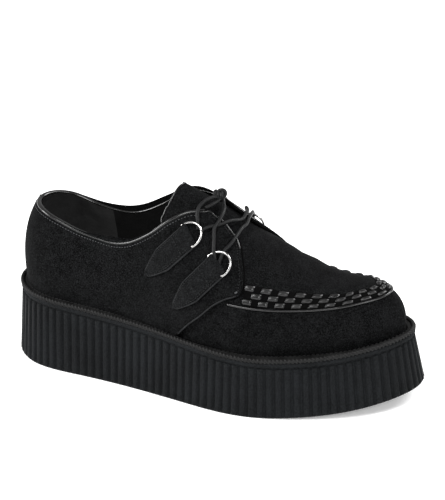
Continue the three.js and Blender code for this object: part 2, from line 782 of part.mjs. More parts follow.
function laceKnot() {
  const points = [];
  const size = laceDiameter * 1.4;
  for (let step = 0; step <= 6; step += 1) {
    const angle = -Math.PI / 2 + step / 6 * Math.PI;
    const round = Math.cos(angle);
    points.push(new THREE.Vector2(step === 0 || step === 6 ? 0 : round * size, Math.sin(angle) * size * 0.8));
  }
  const place = onForm(knotSpot);
  return solid(new THREE.LatheGeometry(points, 8).rotateX(Math.PI / 2).translate(place.x, place.y, place.z));
}

const suede = 0x17171a;
const leather = 0x2a2a2e;
const rubber = 0x1c1c1d;
const nickel = 0xc9c7c2;
const cloth = 0xe6e0d4;
const waxedCord = 0x232427;

addPart('platform_sole', geometryOf(platformSole()), rubber, 0.8);
addPart('welt', welt(), leather, 0.6);
addPart('insole', geometryOf(insole()), cloth, 0.9);
addPart('upper', geometryOf(upper()), suede, 0.95);
addPart('tongue', geometryOf(tongue()), suede, 0.95);
addPart('collar_piping', collarPiping(), leather, 0.4);
addPart('apron_piping', apronPiping(), leather, 0.4);
addPart('apron_weave', geometryOf(apronWeave()), leather, 0.45);
straps.forEach((strap) => {
  [[-1, 'outer'], [1, 'inner']].forEach(([sign, side]) => {
    const pair = strapAndRing(strap, sign);
    addPart(`strap_${strap.name}_${side}`, geometryOf(pair.strap), suede, 0.95);
    addPart(`ring_${strap.name}_${side}`, pair.ring, nickel, 0.25, 1);
  });
});
addPart('lace_bar', laceStrand(lacePaths.bar, 10), waxedCord, 0.5);
addPart('lace_crossings', geometryOf(laceCrossings()), waxedCord, 0.5);
addPart('lace_knot', geometryOf(laceKnot()), waxedCord, 0.5);
addPart('lace_end_near', laceStrand(nearEnd, 9), waxedCord, 0.5);
addPart('lace_end_free', laceStrand(freeEnd, 8), waxedCord, 0.5);

export default group;
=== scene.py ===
import math
import bpy
import numpy as np
from mathutils import Matrix, Vector


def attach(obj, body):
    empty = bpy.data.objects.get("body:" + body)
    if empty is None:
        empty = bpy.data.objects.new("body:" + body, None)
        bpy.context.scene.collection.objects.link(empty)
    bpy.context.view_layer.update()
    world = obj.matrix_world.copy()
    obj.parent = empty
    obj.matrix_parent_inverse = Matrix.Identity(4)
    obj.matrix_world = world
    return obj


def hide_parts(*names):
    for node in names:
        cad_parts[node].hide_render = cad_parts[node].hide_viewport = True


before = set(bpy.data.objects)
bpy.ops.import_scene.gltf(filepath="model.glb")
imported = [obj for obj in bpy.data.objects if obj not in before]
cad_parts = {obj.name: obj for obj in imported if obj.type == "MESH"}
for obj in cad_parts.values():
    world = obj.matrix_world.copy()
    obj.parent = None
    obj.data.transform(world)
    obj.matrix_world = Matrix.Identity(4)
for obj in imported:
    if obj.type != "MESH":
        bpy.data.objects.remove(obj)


def saveSize():
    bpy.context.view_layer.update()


saveSize()
scene = bpy.context.scene
scene.view_settings.view_transform = "Standard"

# Lengths are in millimetres. A place on the shoe is a turn and a climb: turn runs round the sole from the
# heel at 0 over the outer side to the toe at 8 and back to 16, climb from the foot of the upper at 0 to its
# ridge at 1, and a lift stands out from that surface. Side is -1 for the outer side and 1 for the inner.
turns = 16
half = 8

shoe = {
    "length": 302.0,
    "width": 118.0,
    "heelWall": 45.8,       # height of the ribbed wall at the heel
    "spring": 10.7,         # lift of the toe
    "springStart": 0.655,   # where it begins, as a share of the length
    "groove": 1.3,          # height of the groove over the ribs
    "lip": 3.7,             # height of the lip over the groove
    "gap": 0.3,             # upper over the platform
    "instep": 88.0,
    "wall": 2.2,            # thickness of the upper
    "step": 1.3,            # quarters outside the vamp
    "heelAxis": 0.166,      # shares of the length between which the ridge runs
    "toeAxis": 0.851,
    "toeTurn": 6.58,        # past this turn the ridge keeps one height
}

# control points of the sole's outline: along, across
outline = np.array([
    [-0.034, 0.077], [0.065, -0.294], [0.218, -0.315], [0.362, -0.368], [0.507, -0.45], [0.652, -0.53],
    [0.801, -0.427], [0.928, -0.279], [1.035, 0.076], [0.93, 0.405], [0.791, 0.507], [0.646, 0.502],
    [0.509, 0.392], [0.363, 0.344], [0.225, 0.351], [0.071, 0.428]])

# height of the ribbed wall: along, share of heelWall
wedge = np.array([[0, 1], [0.2, 0.94], [0.42, 0.868], [0.69, 0.732], [1, 0.734]])

# sections of the upper: turn, flare, ledge, ridge, low, lowUp, side, sideUp, top
sections = np.array([
    [0, 3.7, 5.6, 0.9, 1.07, 0.3, 1.06, 0.72, 0.5],
    [1, 3.8, 6.0, 0.9, 1.07, 0.3, 1.05, 0.72, 0.5],
    [2, 3.9, 7.2, 0.96, 1.06, 0.25, 0.97, 0.62, 0.45],
    [3, 4.0, 5.8, 1.12, 1.06, 0.25, 0.95, 0.59, 0.45],
    [4, 4.1, 4.5, 1.02, 1.03, 0.28, 1.0, 0.62, 0.55],
    [5, 5.0, 8.0, 0.718, 1.05, 0.3, 1.05, 0.68, 0.58],
    [6, 6.0, 10.0, 0.495, 1.08, 0.33, 1.1, 0.78, 0.58],
    [7, 5.6, 8.0, 0.435, 1.07, 0.32, 1.07, 0.77, 0.68],
    [8, 5.1, 6.0, 0.445, 1.06, 0.3, 1.06, 0.75, 0.75]])
flareColumn, ledgeColumn, ridgeColumn = 1, 2, 3


def splineAt(turn):
    turn = np.mod(turn, turns)
    first = np.floor(turn).astype(int)
    t = (turn - first)[..., None]
    a, b, c, d = (outline[(first + k) % turns] for k in (-1, 0, 1, 2))
    return ((1 - t) ** 3 * a + (3 * t**3 - 6 * t**2 + 4) * b + (-3 * t**3 + 3 * t**2 + 3 * t + 1) * c + t**3 * d) / 6


middle = [(v.min() + v.max()) / 2 for v in splineAt(np.arange(400) * turns / 400).T]


def outlineAt(turn):
    return (splineAt(turn) - middle) * [shoe["length"], shoe["width"]]


# smooth reading of a table by its first column
def lookup(rows, place, column=1):
    place = np.asarray(place, float)
    keys = rows[:, 0]
    values = rows[:, column]
    row = np.clip(np.searchsorted(keys, place, side="left") - 1, 0, len(rows) - 2)
    span = keys[row + 1] - keys[row]
    t = np.clip((place - keys[row]) / span, 0, 1)
    before = np.maximum(row - 1, 0)
    after = np.minimum(row + 2, len(rows) - 1)
    start = (values[row + 1] - values[before]) / np.maximum(keys[row + 1] - keys[before], 1e-6) * span
    end = (values[after] - values[row]) / np.maximum(keys[after] - keys[row], 1e-6) * span
    return ((2 * t**3 - 3 * t**2 + 1) * values[row] + (t**3 - 2 * t**2 + t) * start
            + (3 * t**2 - 2 * t**3) * values[row + 1] + (t**3 - t**2) * end)


def ramp(x, start, end):
    return np.clip((x - start) / (end - start), 0, 1)


def smoothRamp(x, start, end):
    t = ramp(x, start, end)
    return t * t * (3 - 2 * t)


def mate(turn):
    turn = np.mod(turn, turns)
    return np.where(turn <= half, turn, turns - turn)


# the same place on the other side, where side is 1
def signedTurn(turn, side):
    return turn if side < 0 else turns - turn


def section(turn, column):
    return lookup(sections, mate(turn), column)


def insetAt(turn, inset):
    tangent = outlineAt(turn + 0.01) - outlineAt(turn - 0.01)
    tangent = tangent / np.linalg.norm(tangent, axis=-1, keepdims=True)
    normal = np.stack([tangent[..., 1], -tangent[..., 0]], -1)
    return outlineAt(turn) - normal * np.asarray(inset, float)[..., None]


def share(x):
    return x / shoe["length"] + 0.5


def springAt(x):
    return shoe["spring"] * np.maximum(0, (share(x) - shoe["springStart"]) / (1 - shoe["springStart"])) ** 2


def ribTop(x):
    return lookup(wedge, np.clip(share(x), 0, 1)) * shoe["heelWall"] + springAt(x)


def platformTop(x):
    return ribTop(x) + shoe["groove"] + shoe["lip"]


def footInset(turn):
    return section(turn, flareColumn) + section(turn, ledgeColumn)


nearTurns = np.linspace(0, half, 1601)
spine = (insetAt(nearTurns, footInset(nearTurns)) + insetAt(turns - nearTurns, footInset(nearTurns))) / 2
rearX, frontX = ((shoe[k] - 0.5) * shoe["length"] for k in ("heelAxis", "toeAxis"))
rearY, frontY = (float(np.interp(x, spine[:, 0], spine[:, 1])) for x in (rearX, frontX))
spineX = np.clip(spine[:, 0], rearX, frontX)
spineY = np.where(spine[:, 0] < rearX, rearY, np.where(spine[:, 0] > frontX, frontY, spine[:, 1]))


# point on the last: each section is a Bezier curve from the foot to the ridge
def form(turn, climb, offset=0.0):
    turn, climb, offset = np.broadcast_arrays(*(np.asarray(v, float) for v in (turn, climb, offset)))
    near = mate(turn)
    foot = insetAt(turn, footInset(turn) - offset)
    centre = np.stack([np.interp(near, nearTurns, spineX), np.interp(near, nearTurns, spineY)], -1)
    low = platformTop(foot[..., 0]) + shoe["gap"]
    ridge = lookup(sections, np.minimum(near, shoe["toeTurn"]), ridgeColumn)
    high = platformTop(centre[..., 0]) + ridge * shoe["instep"] + offset
    lowOut, lowUp, sideOut, sideUp, topOut = (section(turn, column) for column in (4, 5, 6, 7, 8))
    basis = [w * climb**k * (1 - climb) ** (4 - k) for k, w in enumerate((1, 4, 6, 4, 1))]
    reach = sum(b * v for b, v in zip(basis, (1, lowOut, sideOut, topOut, 0)))
    rise = sum(b * v for b, v in zip(basis, (0, lowUp, sideUp, 1, 1)))
    plan = centre + (foot - centre) * reach[..., None]
    return np.concatenate([plan, (low + rise * (high - low))[..., None]], -1)


def onForm(spots):
    return np.array([form(signedTurn(turn, side), climb, lift) for side, turn, climb, lift in spots])


collar = {
    "height": 66.0,
    "skew": 0.26,     # how far the line slips back per millimetre across
    "tilt": 0.015,    # how far it rises per millimetre across
    "rim": -0.21,     # share of the width at which the line below was read
}
collarLine = np.array([
    [-0.05, 0.88], [0.06, 0.9], [0.11, 0.905], [0.156, 0.86], [0.211, 0.8], [0.265, 0.78], [0.307, 0.785],
    [0.347, 0.84], [0.399, 0.985], [0.446, 1.155], [0.488, 1.26], [0.53, 1.29], [0.58, 1.3]])  # along, rise


def collarAt(x, y):
    away = y - collar["rim"] * shoe["width"]
    base = x + collar["skew"] * away
    return platformTop(base) + lookup(collarLine, share(base)) * collar["height"] + collar["tilt"] * away


# climb at which the form meets the collar line
def collarClimb(turn, offset=0.0):
    low = np.zeros_like(turn)
    high = np.ones_like(turn)
    for _ in range(24):
        climb = (low + high) / 2
        point = form(turn, climb, offset)
        under = point[..., 2] < collarAt(point[..., 0], point[..., 1])
        low = np.where(under, climb, low)
        high = np.where(under, high, climb)
    return (low + high) / 2


def lengthsAlong(points):
    return np.concatenate([[0], np.cumsum(np.linalg.norm(np.diff(points, axis=0), axis=1))])


def unit(vectors):
    return vectors / (np.linalg.norm(vectors, axis=1, keepdims=True) + 1e-9)


def curveThrough(points, count):
    points = np.asarray(points, float)
    along = lengthsAlong(points * ([45, 80] if points.shape[1] == 2 else 1))  # mm per turn and per climb
    table = np.column_stack([along, points])
    places = np.linspace(0, along[-1], count)
    return np.column_stack([lookup(table, places, k + 1) for k in range(points.shape[1])])


def evenly(points, pitch):
    along = lengthsAlong(points)
    places = np.linspace(0, along[-1], max(2, int(round(along[-1] / pitch)) + 1))
    return np.column_stack([np.interp(places, along, points[:, k]) for k in range(points.shape[1])])


# wraps a socket, so that shader maths is written as Python
class Sock:
    def __init__(self, tree, socket):
        self.tree = tree
        self.socket = socket

    def node(self, kind, settings=(), output=0, **values):
        made = self.tree.nodes.new(kind)
        for key, value in dict(settings).items():
            setattr(made, key, value)
        for key, value in values.items():
            port = made.inputs[int(key[1:]) if key[1:].isdigit() else key.replace("_", " ")]
            if isinstance(value, Sock):
                self.tree.links.new(value.socket, port)
            else:
                port.default_value = value
        return Sock(self.tree, made.outputs[output])

    def maths(self, operation, first, second):
        return self.node("ShaderNodeMath", {"operation": operation}, i0=first, i1=second)

    def __add__(self, other):
        return self.maths("ADD", self, other)

    def __radd__(self, other):
        return self.maths("ADD", other, self)

    def __sub__(self, other):
        return self.maths("SUBTRACT", self, other)

    def __rsub__(self, other):
        return self.maths("SUBTRACT", other, self)

    def __mul__(self, other):
        return self.maths("MULTIPLY", self, other)

    def __rmul__(self, other):
        return self.maths("MULTIPLY", other, self)

    def steps(self, low, high, start=0.0, end=1.0):
        return self.node("ShaderNodeMapRange", {"interpolation_type": "SMOOTHSTEP"},
                         i0=self, i1=low, i2=high, i3=start, i4=end)

    def between(self, first, second):
        return self.node("ShaderNodeMix", {"data_type": "RGBA"}, 2, i0=self, i6=first, i7=second)


class Finish:
    def __init__(self, name, **constants):
        self.material = bpy.data.materials.new(name)
        self.material.use_nodes = True
        self.tree = self.material.node_tree
        self.shader = next(n for n in self.tree.nodes if n.type == "BSDF_PRINCIPLED")
        self.root = Sock(self.tree, None)
        self.place = self.root.node("ShaderNodeTexCoord", output=3)
        for key, value in constants.items():
            self.shader.inputs[key.replace("_", " ")].default_value = value

    def noise(self, scale, detail, rough):
        return self.root.node("ShaderNodeTexNoise", Vector=self.place, Scale=scale, Detail=detail, Roughness=rough)

    def feed(self, **sockets):
        for key, value in sockets.items():
            self.tree.links.new(value.socket, self.shader.inputs[key.replace("_", " ")])

    def bump(self, height, strength, distance):
        self.feed(Normal=self.root.node("ShaderNodeBump", Height=height, Strength=strength, Distance=distance))


def grey(value, warm=0.0):
    return (value * (1 + warm), value, value * (1 - warm), 1)


def suede(name, dark, light, speckle=0.8):
    finish = Finish(name, Roughness=0.9, Sheen_Weight=0.014, Sheen_Roughness=0.5, Specular_IOR_Level=0.012)
    nap = finish.noise(1250, 4, 0.75)
    patch = finish.noise(60, 3, 0.55)
    brushed = finish.noise(190, 4, 0.65)
    tone = (nap - 0.5) * (speckle * 2.2) + (patch - 0.5) * 0.35 + (brushed - 0.5) * 0.4 + 0.38
    tone = tone + nap.steps(0.56, 0.7) * 0.55
    finish.feed(Base_Color=tone.steps(0.0, 1.0).between(grey(dark, -0.03), grey(light, -0.04)))
    finish.bump(nap * 0.7 + brushed * 0.6, 0.5, 0.0004)
    return finish.material


def leather(name, tone, rough, coat=0.0, grain=1.0, shine=0.4, spread=0.27):
    finish = Finish(name, Coat_Weight=coat, Coat_Roughness=0.25, Specular_IOR_Level=shine)
    fine = finish.noise(900, 3, 0.6)
    broad = finish.noise(120, 2, 0.5)
    mottle = (fine * 0.5 + broad * 0.5).steps(0.3, 0.7)
    finish.feed(Base_Color=mottle.between(grey(tone * (1 - spread)), grey(tone * (1 + spread))),
                Roughness=broad.steps(0.3, 0.7, rough - 0.06, rough + 0.1))
    finish.bump(fine, 0.25 * grain, 0.0003)
    return finish.material


def rubber(name, tone):
    finish = Finish(name, Specular_IOR_Level=0.05)
    fine = finish.noise(900, 4, 0.7)
    broad = finish.noise(35, 2, 0.5)
    mottle = (fine * 0.7 + broad * 0.3).steps(0.35, 0.65)
    finish.feed(Base_Color=mottle.between(grey(tone * 0.55, -0.07), grey(tone * 1.5, -0.09)),
                Roughness=broad.steps(0.3, 0.7, 0.55, 0.72))
    finish.bump(fine, 0.35, 0.0004)
    return finish.material


def metal(name, tone):
    finish = Finish(name, Metallic=1.0)
    fine = finish.noise(400, 2, 0.5)
    finish.feed(Base_Color=fine.steps(0.3, 0.7).between(grey(tone * 0.95, 0.01), grey(tone, 0.02)),
                Roughness=fine.steps(0.3, 0.7, 0.14, 0.24))
    return finish.material


def waxed(name, tone):
    finish = Finish(name, Specular_IOR_Level=0.18)
    fine = finish.noise(1300, 2, 0.5)
    finish.feed(Base_Color=fine.steps(0.3, 0.7).between(grey(tone * 0.7, -0.04), grey(tone * 1.4, -0.04)),
                Roughness=fine.steps(0.3, 0.7, 0.42, 0.6))
    finish.bump(fine, 0.5, 0.0003)
    return finish.material


finishes = {
    "sole": rubber("soleRubber", 0.0085),
    "suede": suede("upperSuede", 0.0003, 0.0135, 1.15),
    "edge": suede("edgeSuede", 0.012, 0.034),
    "strap": suede("strapSuede", 0.0018, 0.019),
    "binding": leather("bindingLeather", 0.0015, 0.17, coat=0.3),
    "weave": leather("weaveLeather", 0.0026, 0.33, coat=0.12),
    "weaveUnder": leather("weaveUnderLeather", 0.002, 0.9, shine=0.03),
    "welt": leather("weltLeather", 0.0075, 0.6, grain=3.0, shine=0.2, spread=0.6),
    "thread": waxed("stitchThread", 0.055),
    "threadDark": waxed("stitchThreadDark", 0.007),
    "lining": leather("liningLeather", 0.014, 0.6),
    "liningDark": leather("liningFrontLeather", 0.004, 0.7, shine=0.1),
    "insole": leather("insoleLeather", 0.8, 0.65, grain=0.5, shine=0.3, spread=0.12),
    "ring": metal("ringNickel", 0.5),
    "lace": waxed("laceCord", 0.006),
}
print("finishes ready")


def makeMesh(name, points, faces, finish, node=()):
    mesh = bpy.data.meshes.new(name)
    mesh.from_pydata((np.asarray(points, float) / 1000).tolist(), [], [tuple(int(i) for i in f) for f in faces])
    mesh.validate()
    mesh.update()
    mesh.polygons.foreach_set("use_smooth", [True] * len(mesh.polygons))
    piece = bpy.data.objects.new(name, mesh)
    scene.collection.objects.link(piece)
    mesh.materials.append(finishes[finish])
    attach(piece, "root")
    if node:
        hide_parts(*([node] if isinstance(node, str) else node))
    return piece


def gridFaces(rows, columns, closed=False, flip=False):
    r, c = np.meshgrid(np.arange(rows - 1), np.arange(columns if closed else columns - 1), indexing="ij")
    a = r * columns + c
    b = r * columns + (c + 1) % columns
    quads = np.stack([a, b, b + columns, a + columns], -1).reshape(-1, 4)
    return quads[:, ::-1] if flip else quads


def gridMesh(name, grid, finish, node=(), flip=False):
    rows, columns = grid.shape[:2]
    return makeMesh(name, grid.reshape(-1, 3), gridFaces(rows, columns, flip=flip), finish, node)


def tangents(points, closed=False):
    if closed:
        tangent = np.roll(points, -1, 0) - np.roll(points, 1, 0)
    else:
        tangent = np.gradient(points, axis=0)
    return tangent / np.linalg.norm(tangent, axis=1, keepdims=True)


# flat squashes the tube towards up, and twist turns an oval round it as in a rope
def tubeGrid(points, radius, sides, closed, flat=1.0, up=(0, 0, 1), twist=None):
    tangent = tangents(points, closed)
    side = unit(np.cross(tangent, np.broadcast_to(np.asarray(up, float), tangent.shape)))
    top = np.cross(side, tangent)
    angle = np.arange(sides) / sides * 2 * np.pi
    size = np.full((len(points), 1), float(radius))
    if twist is not None:
        size = size * (1 + 0.3 * np.cos(2 * angle[None] + twist[:, None]))
    across = (size * np.cos(angle))[..., None] * side[:, None]
    high = (size * flat * np.sin(angle))[..., None] * top[:, None]
    return points[:, None] + across + high


def tubeParts(points, radius, sides=10, closed=False, **more):
    grid = tubeGrid(points, radius, sides, closed, **more)
    if closed:
        grid = np.concatenate([grid, grid[:1]])
    rows = len(grid)
    faces = [list(f) for f in gridFaces(rows, sides, True)]
    if not closed:
        faces += [list(range(sides))[::-1], list(range((rows - 1) * sides, rows * sides))]
    return grid.reshape(-1, 3), faces


def tube(name, points, radius, finish, slot, node=(), **more):
    verts, faces = tubeParts(points, radius, **more)
    return makeMesh(name, verts, faces, finish, node)


def joinedMesh(name, parts, finish, node=()):
    verts = []
    faces = []
    base = 0
    for v, f in parts:
        verts.append(np.asarray(v, float))
        faces += [[int(i) + base for i in face] for face in f]
        base += len(v)
    return makeMesh(name, np.concatenate(verts), faces, finish, node)


# one short closed thread for each place
def stitchParts(places, directions, normals, length, radius):
    rings = np.array([[-1, 0.25], [-0.6, 0.85], [0.6, 0.85], [1, 0.25]])  # along, share of the radius
    parts = []
    for place, along, up in zip(places, directions, normals):
        side = np.cross(along, up)
        grid = [place + along * r[0] * length / 2 + radius * r[1] * (math.cos(a) * side + math.sin(a) * up)
                for r in rings for a in np.arange(5) / 5 * 2 * math.pi]
        faces = [list(f) for f in gridFaces(4, 5, True)] + [[4, 3, 2, 1, 0], [15, 16, 17, 18, 19]]
        parts.append((grid, faces))
    return parts


# stitches along a line on the form
def stitchRun(turn, climb, lift, pitch, length, radius):
    points = form(turn, climb, lift)
    steps = lengthsAlong(points)
    places = np.arange(pitch / 2, steps[-1], pitch)
    turn, climb = (np.interp(places, steps, v) for v in (turn, climb))
    here = form(turn, climb, lift)
    out = form(turn, climb, lift + 1) - here
    ahead, behind = (np.column_stack([np.interp(places + away, steps, points[:, k]) for k in range(3)])
                     for away in (0.5, -0.5))
    along = unit(ahead - behind)
    out = unit(out - along * (out * along).sum(1, keepdims=True))
    return stitchParts(here, along, out, length, radius)


# the same line on the form, moved sideways by a distance
def shifted(turn, climb, away):
    here = form(turn, climb)
    byTurn = (form(turn + 0.01, climb) - here) * 100
    byClimb = (here - form(turn, climb - 0.01)) * 100
    across = np.cross(np.cross(byTurn, byClimb), np.gradient(here, axis=0))
    across *= away / np.linalg.norm(across, axis=1, keepdims=True)
    tt, tc, cc = (byTurn**2).sum(1), (byTurn * byClimb).sum(1), (byClimb**2).sum(1)
    at, ac = (across * byTurn).sum(1), (across * byClimb).sum(1)
    det = tt * cc - tc * tc
    return turn + (at * cc - ac * tc) / det, climb + (ac * tt - at * tc) / det


lens = {"azimuth": 27.0, "elevation": 24.0, "roll": -3.073, "distance": 3000.0, "focal": 315.75, "sensor": 36.0,
        "aim": (-2.97, 4.65, 60.0), "aimPixel": (209.767, 288.733), "picture": (445, 500)}


def aimCamera():
    a, e, r = (math.radians(lens[k]) for k in ("azimuth", "elevation", "roll"))
    back = Vector((math.sin(a) * math.cos(e), -math.cos(a) * math.cos(e), math.sin(e)))
    right = Vector((math.cos(a), math.sin(a), 0))
    up = back.cross(right)
    rolledRight = right * math.cos(r) + up * math.sin(r)
    rolledUp = up * math.cos(r) - right * math.sin(r)
    eye = (Vector(lens["aim"]) + back * lens["distance"]) / 1000
    wide, high = lens["picture"]
    pixels = lens["focal"] / lens["sensor"] * high
    off = ((wide / 2 - lens["aimPixel"][0]) / pixels, (lens["aimPixel"][1] - high / 2) / pixels)
    newBack = -(-back + rolledRight * off[0] + rolledUp * off[1]).normalized()
    newRight = rolledUp.cross(newBack).normalized()
    newUp = newBack.cross(newRight)
    data = bpy.data.cameras.new("photoCamera")
    data.lens = lens["focal"]
    data.sensor_width = lens["sensor"]
    data.clip_end = 50
    camera = bpy.data.objects.new("photoCamera", data)
    scene.collection.objects.link(camera)
    camera.matrix_world = Matrix((
        (newRight.x, newUp.x, newBack.x, eye.x),
        (newRight.y, newUp.y, newBack.y, eye.y),
        (newRight.z, newUp.z, newBack.z, eye.z),
        (0, 0, 0, 1)))
    scene.camera = camera


aimCamera()
print("camera")

# paths of the laces: side, turn, climb, lift
lace = {
    "radius": 1.25,
    "bar": [(-1, 4.5, 0.6, 1.9), (-1, 4.53, 0.64, 3.6), (-1, 4.556, 0.692, 4.6), (-1, 4.6, 0.759, 3.9),
            (-1, 4.619, 0.826, 3.4), (-1, 4.621, 0.933, 2.8), (1, 4.62, 1, 2.2), (1, 4.56, 0.9, 2.6),
            (1, 4.5, 0.8, 3.4), (1, 4.44, 0.72, 4.4), (1, 4.4, 0.66, 3.4), (1, 4.36, 0.61, 1.9)],
    "rising": [(-1, 4.47, 0.59, 1.9), (-1, 4.44, 0.625, 3.6), (-1, 4.412, 0.66, 4.7), (-1, 4.37, 0.714, 4.3),
               (-1, 4.325, 0.78, 4.6), (-1, 4.345, 0.84, 4.7), (-1, 4.32, 0.94, 4.6), (1, 4.24, 1, 3.8),
               (1, 4.12, 0.9, 3.6), (1, 4.02, 0.82, 4.4), (1, 3.93, 0.75, 4.8), (1, 3.9, 0.7, 3.2)],
    "falling": [(-1, 4.12, 0.7, 1.8), (-1, 4.16, 0.725, 3.2), (-1, 4.21, 0.752, 3.5), (-1, 4.272, 0.783, 3.4),
                (-1, 4.335, 0.824, 2.4), (-1, 4.444, 0.911, 2.6), (1, 4.54, 1, 2.4), (1, 4.5, 0.9, 2.4),
                (1, 4.43, 0.8, 3.2), (1, 4.35, 0.74, 4.2), (1, 4.32, 0.68, 3.2)],
    "loose": [(-1, 4.08, 0.71, 2.6), (-1, 4.069, 0.745, 4.6), (-1, 4.036, 0.78, 5.6), (-1, 4.028, 0.826, 6),
              (-1, 4.067, 0.887, 6.2), (-1, 4.123, 0.942, 6.4)],
    "end": [(-1, 4.2, 0.97, 5.6), (-1, 4.15, 0.9, 4.6), (-1, 4.09, 0.862, 3.6)],
    # the loop that stands in the knot
    "loopAt": (-1, 4.22, 1.0, 9.5), "loopRadius": 2.6, "loopStart": -2.4, "loopTurn": 0.9, "loopSpread": 0.6,
    "passes": 24,  # of smoothing over the loose end
    # wraps of the knot
    "knotAt": (-1, 4.15, 1.0, 6.2), "wraps": 2.5, "knotLength": 6.4, "knotShift": 1.0,
    "knotWide": 2.5, "knotHigh": 2.3,
}


def buildLaces():
    angles = lace["loopStart"] + np.linspace(0, lace["loopTurn"] * 2 * math.pi, 14)
    loop = onForm([lace["loopAt"]])[0] + lace["loopRadius"] * np.column_stack([
        np.cos(angles), 0.5 * np.cos(angles) + np.linspace(-1, 1, 14) * lace["loopSpread"], np.sin(angles)])
    loose = curveThrough(np.concatenate([onForm(lace["loose"]), loop, onForm(lace["end"])]), 200)
    for _ in range(lace["passes"]):
        loose[1:-1] = (loose[:-2] + 2 * loose[1:-1] + loose[2:]) / 4
    looseLace = tube("laceLoose", loose, lace["radius"], "lace", "lace", ("lace_end_near", "lace_end_free"))
    step = np.linspace(0, 1, 80)
    angle = step * 2 * math.pi * lace["wraps"]
    wraps = onForm([lace["knotAt"]])[0] + np.column_stack([
        (step - 0.5) * lace["knotLength"] + lace["knotShift"], lace["knotWide"] * np.cos(angle),
        lace["knotHigh"] * np.sin(angle)])
    knot = tube("laceKnot", wraps, lace["radius"], "lace", "lace", "lace_knot")
    tube("laceBar", curveThrough(onForm(lace["bar"]), 70), lace["radius"], "lace", "lace", "lace_bar")
    crossings = [tubeParts(curveThrough(onForm(lace[k]), 80), lace["radius"]) for k in ("rising", "falling")]
    joinedMesh("laceCrossings", crossings, "lace", "lace_crossings")


buildLaces()

sole = {
    "ribs": 112,
    "columns": 10,          # mesh columns for each rib
    "ribDepth": 1.5,
    "valley": 0.2,          # half width of the valley, as a share of the pitch
    "valleyAt": 0.83,
    "crown": 0.15,
    "grooveDepth": 1.15,
    "lipProud": 0.15,
    "lipRound": 1.1,
    "twill": 0.2,           # height of the lip's braid
    "foot": ((3.0, 0.0), (0.9, 0.0), (0.35, 0.9)),  # rounded bottom edge: inset, height
    "wallStart": 1.2,       # where the ribbed wall starts
    "shoulderIn": 0.5, "shoulderUp": 0.25,  # rounded top of the ribs
    "inside": 4.0,          # how far the top reaches under the upper
}


def soleRow(turn, inset, height):
    plan = insetAt(turn, inset)
    return np.column_stack([plan, height(plan[:, 0])])


def buildSole():
    count = sole["ribs"] * sole["columns"]
    turn = np.arange(count) * turns / count
    phase = np.mod(turn * sole["ribs"] / turns, 1)
    away = np.abs(np.mod(phase - sole["valleyAt"] + 0.5, 1) - 0.5)
    valley = sole["ribDepth"] * np.exp(-((away / sole["valley"]) ** 4))
    rib = valley + sole["crown"] * (1 - np.sin((phase + 1 - sole["valleyAt"]) % 1 * np.pi))
    flare = section(turn, flareColumn)
    rows = [soleRow(turn, np.full(count, inset), lambda x: springAt(x) + up) for inset, up in sole["foot"]]
    for part in np.linspace(0, 1, 9):
        low = sole["wallStart"] if part == 0 else 0
        rows.append(soleRow(turn, part * flare + rib, lambda x: springAt(x) + low + part * (ribTop(x) - springAt(x))))
    groove = flare + sole["grooveDepth"]
    for inset, up in ((flare + rib * 0.8 + sole["shoulderIn"], sole["shoulderUp"]), (groove, 0.3),
                      (groove, shoe["groove"])):
        rows.append(soleRow(turn, inset, lambda x: ribTop(x) + up))
    for k in range(7):
        angle = -math.pi / 2 + k / 6 * math.pi
        braid = sole["twill"] * np.cos(2 * np.pi * (np.arange(count) + k) / 4) * math.cos(angle)
        out = sole["lipProud"] - sole["lipRound"] * (1 - math.cos(angle)) + braid
        high = shoe["groove"] + shoe["lip"] / 2 * (1 + math.sin(angle))
        rows.append(soleRow(turn, flare - out, lambda x: ribTop(x) + high))
    rows.append(soleRow(turn, flare + 3.0, platformTop))
    rows.append(soleRow(turn, footInset(turn) + sole["inside"], platformTop))
    faces = [list(f) for f in gridFaces(len(rows), count, True)]
    faces += [[c, (count - c) % count, count - c - 1, c + 1] for c in range(count // 2)]
    makeMesh("soleRibbed", np.concatenate(rows), faces, "sole", "platform_sole")


buildSole()

welt = {
    "rope": 1.4,            # radius of the rope seam
    "pitch": 2.7,           # of its strands
    "inset": 1.0,
    "height": 1.05,
    "stripInset": 0.6, "stripPlay": 1.0,
    # the strip beside it: share of its width, height
    "profile": ((0.0, 0.2), (0.0, 0.9), (0.15, 1.25), (0.5, 1.4), (0.85, 1.3), (1.0, 0.9), (1.1, 0.2)),
    "seamInset": 1.5,       # stitches out from the foot of the upper
    "seamHeight": 1.55,
    "stitchPitch": 3.1, "stitchLength": 2.4, "stitchRadius": 0.42, "stitchSlant": 0.35,
}


